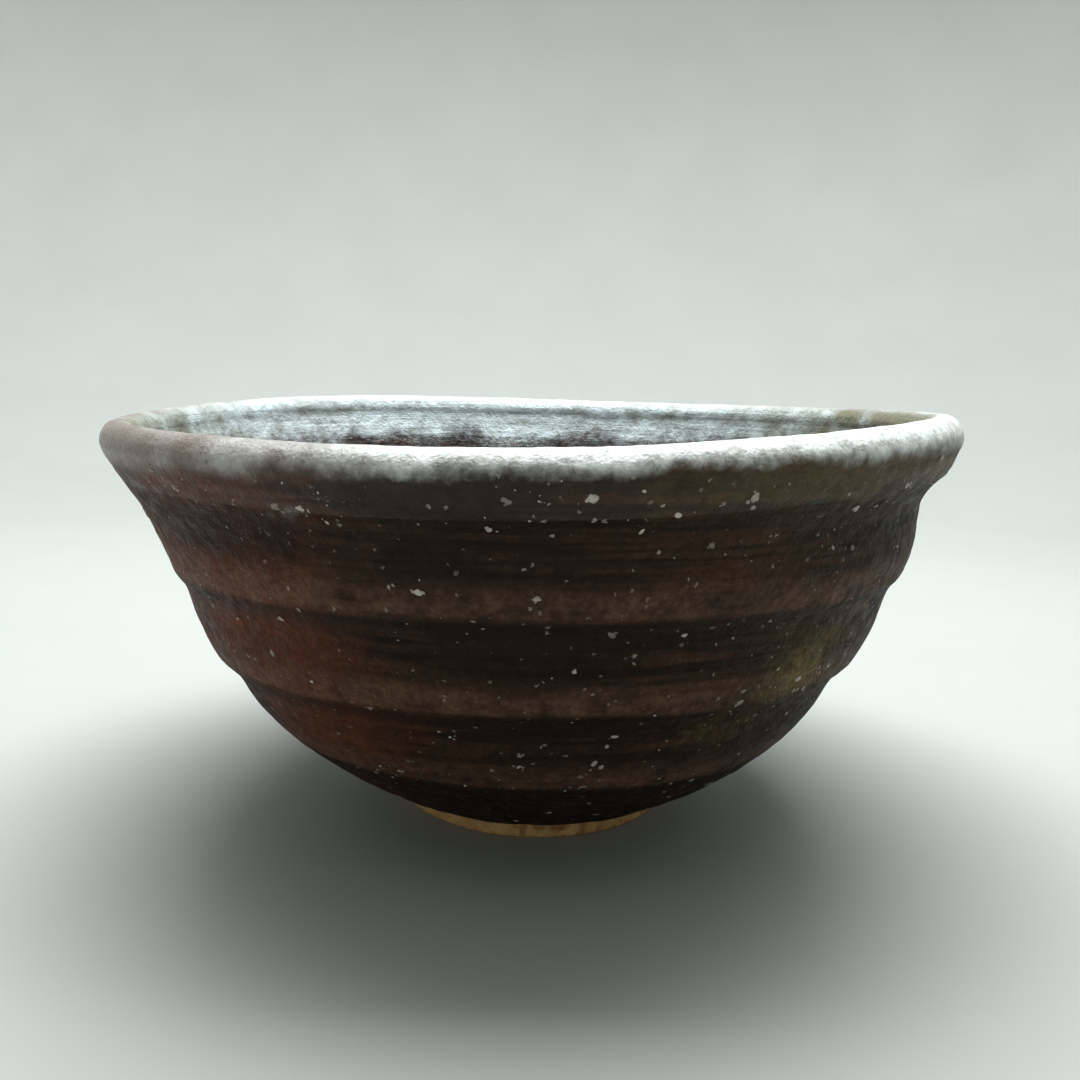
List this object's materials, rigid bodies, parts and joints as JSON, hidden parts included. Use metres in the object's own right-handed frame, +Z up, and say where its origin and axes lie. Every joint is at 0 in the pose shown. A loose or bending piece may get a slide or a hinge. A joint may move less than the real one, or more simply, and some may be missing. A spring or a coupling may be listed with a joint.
{
  "type": "matcha bowl",
  "caption": "Wide, low thrown stoneware tea bowl with a rounded flaring lip, soft finger rings and a bare foot ring, for whisking and drinking powdered tea.",
  "frame": {"origin": "on the table under the centre of the foot ring", "axes": "+Z up along the axis on which the bowl is thrown, X and Y level; the plain round section has no front, and the side first seen is -Y"},
  "size_m": [0.142, 0.142, 0.069],
  "materials": {
    "stoneware": "fired dark stoneware clay, coarse and dense, seen only where a coat ends",
    "bare_clay": "unglazed tan stoneware with pits and rust-coloured spots, dry and matt",
    "iron_slip": "iron-rich slip fired dark red-brown to black, semi-matt with a faint sheen",
    "lip_ash": "thin natural wood-ash glaze, silver grey to olive, satin and slightly gritty",
    "inner_ash": "natural wood-ash glaze, blue grey to olive, satin with a gritty sparkle",
    "feldspar": "half-melted white feldspar, glassy"
  },
  "bodies": {
    "root": {"clay_body": "stoneware", "foot_ring": "bare_clay", "lip_roll": "stoneware", "outer_slip": "iron_slip", "lip_glaze": "lip_ash", "inner_glaze": "inner_ash", "feldspar_grains": "feldspar"}
  },
  "joints": []
}
